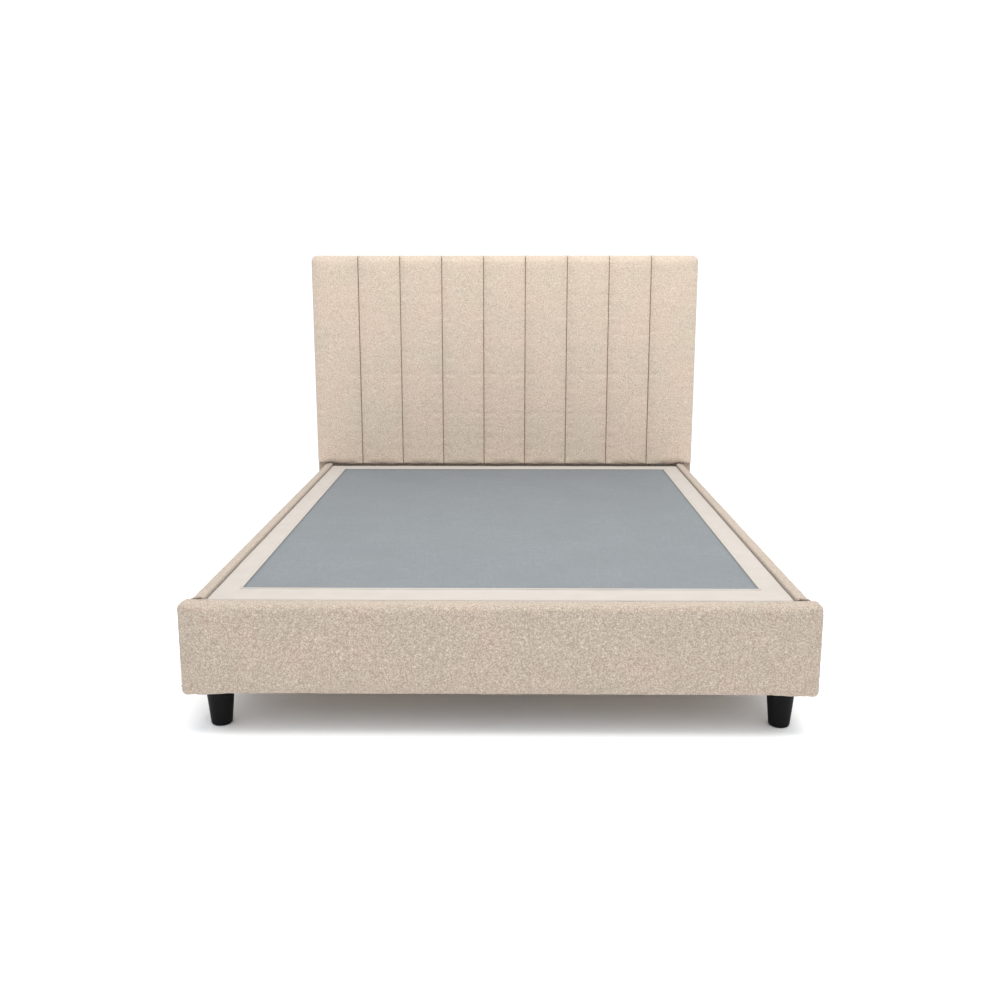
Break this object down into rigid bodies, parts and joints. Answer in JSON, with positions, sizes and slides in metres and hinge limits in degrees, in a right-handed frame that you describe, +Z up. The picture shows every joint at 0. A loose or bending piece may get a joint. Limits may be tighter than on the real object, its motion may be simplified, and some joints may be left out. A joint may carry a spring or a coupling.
{
  "type": "upholstered bed",
  "caption": "Upholstered queen bed: tall headboard padded in upright channels, padded low frame, drop-in foundation and tapered round legs.",
  "frame": {"origin": "on the floor, at the middle of the bed", "axes": "+Z up, +Y from the foot to the head, +X to the right of someone at the foot who faces the headboard"},
  "size_m": [1.6842, 2.2032, 1.28],
  "materials": {
    "boucle": "looped boucle weave, matte",
    "border_fabric": "fine plain weave, matte",
    "deck_cloth": "fine non-woven cloth, matte",
    "dust_cloth": "thin non-woven cloth, matte",
    "timber": "planed softwood, unfinished",
    "plywood": "plywood, unfinished",
    "black_plastic": "satin black",
    "glide_plastic": "matte",
    "black_steel": "powder-coated, satin",
    "zinc_steel": "zinc plated"
  },
  "bodies": {
    "frame": {"beam_hanger_front": "black_steel", "beam_hanger_rear": "black_steel", "centre_beam": "black_steel", "centre_leg_1": "black_plastic", "centre_leg_2": "black_plastic", "corner_block_front_left": "timber", "corner_block_front_right": "timber", "corner_block_rear_left": "timber", "corner_block_rear_right": "timber", "corner_bracket_front_left": "zinc_steel", "corner_bracket_front_right": "zinc_steel", "corner_bracket_rear_left": "zinc_steel", "corner_bracket_rear_right": "zinc_steel", "end_bolt_front_left_1": "zinc_steel", "end_bolt_front_left_2": "zinc_steel", "end_bolt_front_right_1": "zinc_steel", "end_bolt_front_right_2": "zinc_steel", "end_bolt_rear_left_1": "zinc_steel", "end_bolt_rear_left_2": "zinc_steel", "end_bolt_rear_right_1": "zinc_steel", "end_bolt_rear_right_2": "zinc_steel", "footboard_board": "timber", "footboard_cover": "boucle", "headboard_back_cloth": "dust_cloth", "headboard_bottom_rail": "timber", "headboard_channel_pad": "boucle", "headboard_cover": "boucle", "headboard_front_panel": "plywood", "headboard_stile_left": "timber", "headboard_stile_right": "timber", "headboard_top_rail": "timber", "leg_front_left": "black_plastic", "leg_front_right": "black_plastic", "leg_rear_left": "black_plastic", "leg_rear_right": "black_plastic", "rail_bolt_front_left_1": "zinc_steel", "rail_bolt_front_left_2": "zinc_steel", "rail_bolt_front_right_1": "zinc_steel", "rail_bolt_front_right_2": "zinc_steel", "rail_bolt_rear_left_1": "zinc_steel", "rail_bolt_rear_left_2": "zinc_steel", "rail_bolt_rear_right_1": "zinc_steel", "rail_bolt_rear_right_2": "zinc_steel", "side_ledger_left": "timber", "side_ledger_right": "timber", "side_rail_board_left": "timber", "side_rail_board_right": "timber", "side_rail_cover_left": "boucle", "side_rail_cover_right": "boucle"},
    "foundation": {"foundation_cover": "border_fabric", "foundation_cross_1": "timber", "foundation_cross_2": "timber", "foundation_deck_board": "plywood", "foundation_deck_cloth": "deck_cloth", "foundation_end_foot": "timber", "foundation_end_head": "timber", "foundation_side_left": "timber", "foundation_side_right": "timber"},
    "glide_1": {"centre_glide_1": "glide_plastic"},
    "glide_2": {"centre_glide_2": "glide_plastic"}
  },
  "joints": [
    {"name": "foundation_lift", "type": "slide", "parent": "frame", "child": "foundation", "axis": [0, 0, 1], "range_m": [0, 0.3]},
    {"name": "glide_1_level", "type": "slide", "parent": "frame", "child": "glide_1", "axis": [0, 0, 1], "range_m": [0, 0.01]},
    {"name": "glide_2_level", "type": "slide", "parent": "frame", "child": "glide_2", "axis": [0, 0, 1], "range_m": [0, 0.01]}
  ]
}
